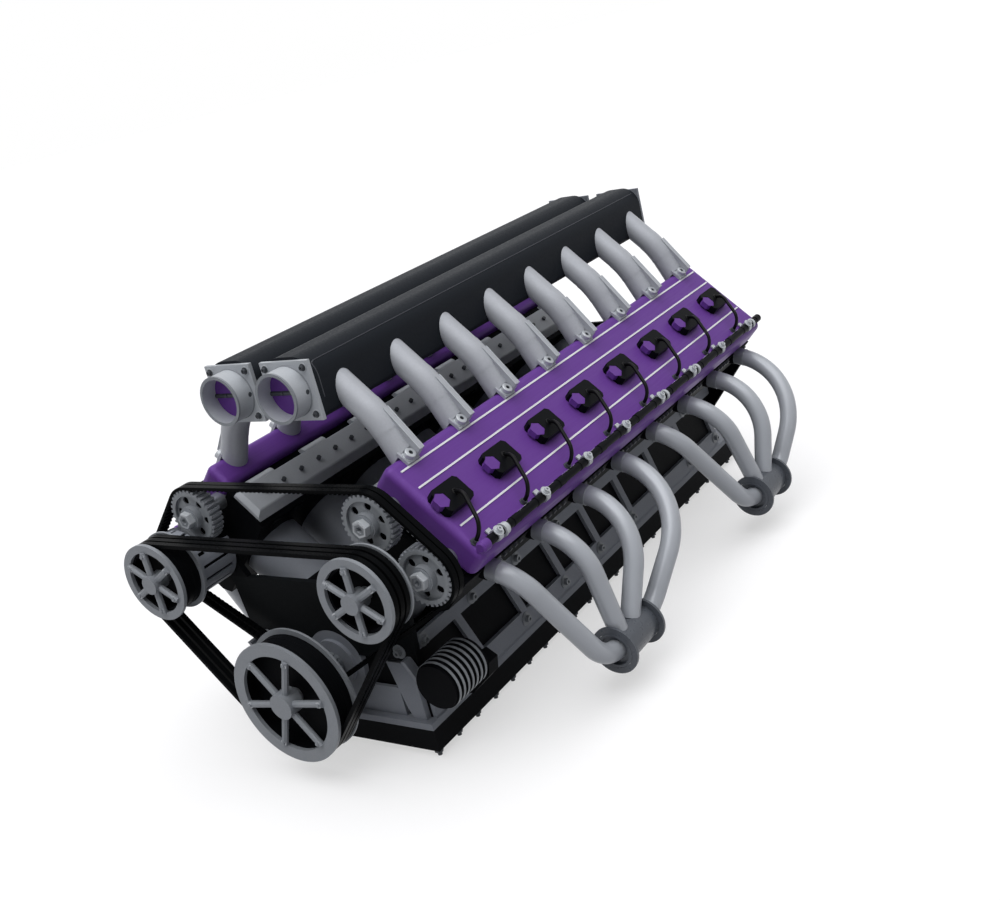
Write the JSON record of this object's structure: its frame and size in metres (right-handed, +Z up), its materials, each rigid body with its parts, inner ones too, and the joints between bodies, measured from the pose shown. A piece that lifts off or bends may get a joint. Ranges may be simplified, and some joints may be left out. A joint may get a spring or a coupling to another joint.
{
  "type": "sixteen-cylinder engine",
  "caption": "Long V engine with purple valve covers, intake plenums with throttles, curved runners, grouped exhaust pipes, timing gears and belt-driven pulleys.",
  "frame": {"origin": "crank axis at the rear face of the crank flange", "axes": "+Y to the rear along the crank axis, +Z up, +X to the right bank as seen from behind the pulleys"},
  "size_m": [0.67, 1.053, 0.517],
  "materials": {
    "crankcase": "satin black",
    "cylinder_barrels": "machined",
    "side_frames": "satin",
    "block_bolts": "plain",
    "main_bearing_caps": "cast",
    "pistons": "machined",
    "crankshaft": "ground",
    "crank_pulley": "turned",
    "crank_pulley_drum": "satin black",
    "pan_rail": "satin",
    "oil_pan": "satin black",
    "pan_bolts": "dark",
    "front_cover": "satin dark grey",
    "front_housing": "satin",
    "cylinder_head_right": "satin black",
    "cylinder_head_left": "satin black",
    "head_rails": "satin",
    "bank_bolts": "plain",
    "valve_cover_right": "purple satin",
    "valve_cover_left": "purple satin",
    "cover_stripes": "white",
    "coil_caps": "moulded",
    "coil_plugs": "purple satin",
    "ignition_leads": "matt",
    "harness_conduits": "moulded",
    "harness_clips": "plain",
    "plenum_right": "satin black",
    "plenum_left": "satin black",
    "throttle_body_right": "satin",
    "throttle_body_left": "satin",
    "throttle_plate_right": "purple satin",
    "throttle_plate_left": "purple satin",
    "throttle_shaft_right": "dark",
    "throttle_shaft_left": "dark",
    "plenum_rear_plates": "satin",
    "runners_right": "satin",
    "runners_left": "satin",
    "exhaust_pipes_right": "satin",
    "exhaust_pipes_left": "satin",
    "exhaust_collectors": "satin",
    "exhaust_flanges": "satin",
    "camshaft_inlet_right": "ground",
    "camshaft_exhaust_right": "ground",
    "camshaft_inlet_left": "ground",
    "camshaft_exhaust_left": "ground",
    "cam_gear_inlet_right": "plain",
    "cam_gear_exhaust_right": "plain",
    "cam_gear_inlet_left": "plain",
    "cam_gear_exhaust_left": "plain",
    "timing_belts": "matt",
    "accessory_belts": "matt",
    "alternator": "satin",
    "alternator_pulley": "turned",
    "alternator_drum": "satin black",
    "pump_pulley": "turned",
    "pump_drum": "satin black",
    "accessory_brackets": "satin black",
    "oil_filter": "satin"
  },
  "bodies": {
    "engine": {"crankcase": "crankcase", "cylinder_barrels": "cylinder_barrels", "side_frames": "side_frames", "block_bolts": "block_bolts", "main_bearing_caps": "main_bearing_caps", "pistons": "pistons", "pan_rail": "pan_rail", "oil_pan": "oil_pan", "pan_bolts": "pan_bolts", "front_cover": "front_cover", "front_housing": "front_housing", "cylinder_head_right": "cylinder_head_right", "cylinder_head_left": "cylinder_head_left", "head_rails": "head_rails", "bank_bolts": "bank_bolts", "valve_cover_right": "valve_cover_right", "valve_cover_left": "valve_cover_left", "cover_stripes": "cover_stripes", "coil_caps": "coil_caps", "coil_plugs": "coil_plugs", "ignition_leads": "ignition_leads", "harness_conduits": "harness_conduits", "harness_clips": "harness_clips", "plenum_right": "plenum_right", "plenum_left": "plenum_left", "throttle_body_right": "throttle_body_right", "throttle_body_left": "throttle_body_left", "plenum_rear_plates": "plenum_rear_plates", "runners_right": "runners_right", "runners_left": "runners_left", "exhaust_pipes_right": "exhaust_pipes_right", "exhaust_pipes_left": "exhaust_pipes_left", "exhaust_collectors": "exhaust_collectors", "exhaust_flanges": "exhaust_flanges", "timing_belts": "timing_belts", "accessory_belts": "accessory_belts", "alternator": "alternator", "accessory_brackets": "accessory_brackets", "oil_filter": "oil_filter"},
    "crank": {"crankshaft": "crankshaft", "crank_pulley": "crank_pulley", "crank_pulley_drum": "crank_pulley_drum"},
    "cam_inlet_right": {"camshaft_inlet_right": "camshaft_inlet_right", "cam_gear_inlet_right": "cam_gear_inlet_right"},
    "cam_exhaust_right": {"camshaft_exhaust_right": "camshaft_exhaust_right", "cam_gear_exhaust_right": "cam_gear_exhaust_right"},
    "cam_inlet_left": {"camshaft_inlet_left": "camshaft_inlet_left", "cam_gear_inlet_left": "cam_gear_inlet_left"},
    "cam_exhaust_left": {"camshaft_exhaust_left": "camshaft_exhaust_left", "cam_gear_exhaust_left": "cam_gear_exhaust_left"},
    "alternator_rotor": {"alternator_pulley": "alternator_pulley", "alternator_drum": "alternator_drum"},
    "pump_rotor": {"pump_pulley": "pump_pulley", "pump_drum": "pump_drum"},
    "throttle_right": {"throttle_plate_right": "throttle_plate_right", "throttle_shaft_right": "throttle_shaft_right"},
    "throttle_left": {"throttle_plate_left": "throttle_plate_left", "throttle_shaft_left": "throttle_shaft_left"}
  },
  "joints": [
    {"name": "crank_spin", "type": "hinge", "parent": "engine", "child": "crank", "pos_m": [0, -0.4, 0], "axis": [0, 1, 0], "continuous": true},
    {"name": "cam_inlet_right_spin", "type": "hinge", "parent": "engine", "child": "cam_inlet_right", "pos_m": [0.1475, -0.5, 0.21001], "axis": [0, 1, 0], "continuous": true},
    {"name": "cam_exhaust_right_spin", "type": "hinge", "parent": "engine", "child": "cam_exhaust_right", "pos_m": [0.21001, -0.5, 0.1475], "axis": [0, 1, 0], "continuous": true},
    {"name": "cam_inlet_left_spin", "type": "hinge", "parent": "engine", "child": "cam_inlet_left", "pos_m": [-0.1475, -0.5, 0.21001], "axis": [0, 1, 0], "continuous": true},
    {"name": "cam_exhaust_left_spin", "type": "hinge", "parent": "engine", "child": "cam_exhaust_left", "pos_m": [-0.21001, -0.5, 0.1475], "axis": [0, 1, 0], "continuous": true},
    {"name": "alternator_spin", "type": "hinge", "parent": "engine", "child": "alternator_rotor", "pos_m": [-0.168, -1.02, 0.153], "axis": [0, 1, 0], "continuous": true},
    {"name": "pump_spin", "type": "hinge", "parent": "engine", "child": "pump_rotor", "pos_m": [0.168, -1.02, 0.153], "axis": [0, 1, 0], "continuous": true},
    {"name": "throttle_right_turn", "type": "hinge", "parent": "engine", "child": "throttle_right", "pos_m": [0.0475, -0.9342, 0.357], "axis": [1, 0, 0], "range_deg": [0, 80], "stiffness_Nm_per_rad": 0.2, "springref_deg": -11.46},
    {"name": "throttle_left_turn", "type": "hinge", "parent": "engine", "child": "throttle_left", "pos_m": [-0.0475, -0.9342, 0.357], "axis": [1, 0, 0], "range_deg": [0, 80], "stiffness_Nm_per_rad": 0.2, "springref_deg": -11.46}
  ],
  "couplings": [
    {"joint": "cam_inlet_right_spin", "follows": "crank_spin", "ratio": 0.5},
    {"joint": "cam_exhaust_right_spin", "follows": "crank_spin", "ratio": 0.5},
    {"joint": "cam_inlet_left_spin", "follows": "crank_spin", "ratio": 0.5},
    {"joint": "cam_exhaust_left_spin", "follows": "crank_spin", "ratio": 0.5},
    {"joint": "alternator_spin", "follows": "crank_spin", "ratio": 1.6148},
    {"joint": "pump_spin", "follows": "crank_spin", "ratio": 1.6148}
  ]
}
